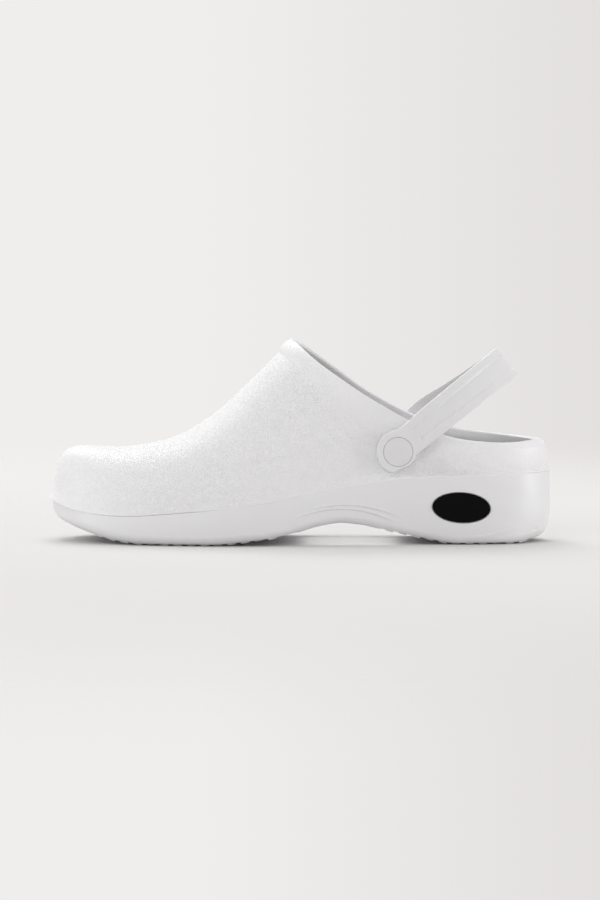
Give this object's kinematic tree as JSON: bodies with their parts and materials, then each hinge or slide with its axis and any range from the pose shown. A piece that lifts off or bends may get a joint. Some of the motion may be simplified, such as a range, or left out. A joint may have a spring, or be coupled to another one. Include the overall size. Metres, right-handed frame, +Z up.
{
  "type": "clog",
  "caption": "Closed-toe moulded foam work clog with an open heel collar, treaded sole with arch, loose footbed and a riveted heel strap raised over the collar.",
  "frame": {"origin": "middle of the shoe's length and width, on the floor under its sole", "axes": "toe along -X, heel along +X, outer side of the foot along -Y, +Z up"},
  "size_m": [0.288, 0.1096, 0.116],
  "materials": {
    "upper_foam": "white foam with a fine leather grain, satin",
    "sole_foam": "white foam, smooth satin",
    "footbed_foam": "pale grey foam, matt with fine pips",
    "strap_foam": "white foam, smooth satin",
    "rivet_plastic": "white moulded plastic",
    "badge_plastic": "plain gloss black"
  },
  "bodies": {
    "root": {"upper": "upper_foam", "sole": "sole_foam", "insole": "footbed_foam", "heel_strap": "strap_foam", "rivet_outer": "rivet_plastic", "rivet_inner": "rivet_plastic", "badge": "badge_plastic"}
  },
  "joints": []
}
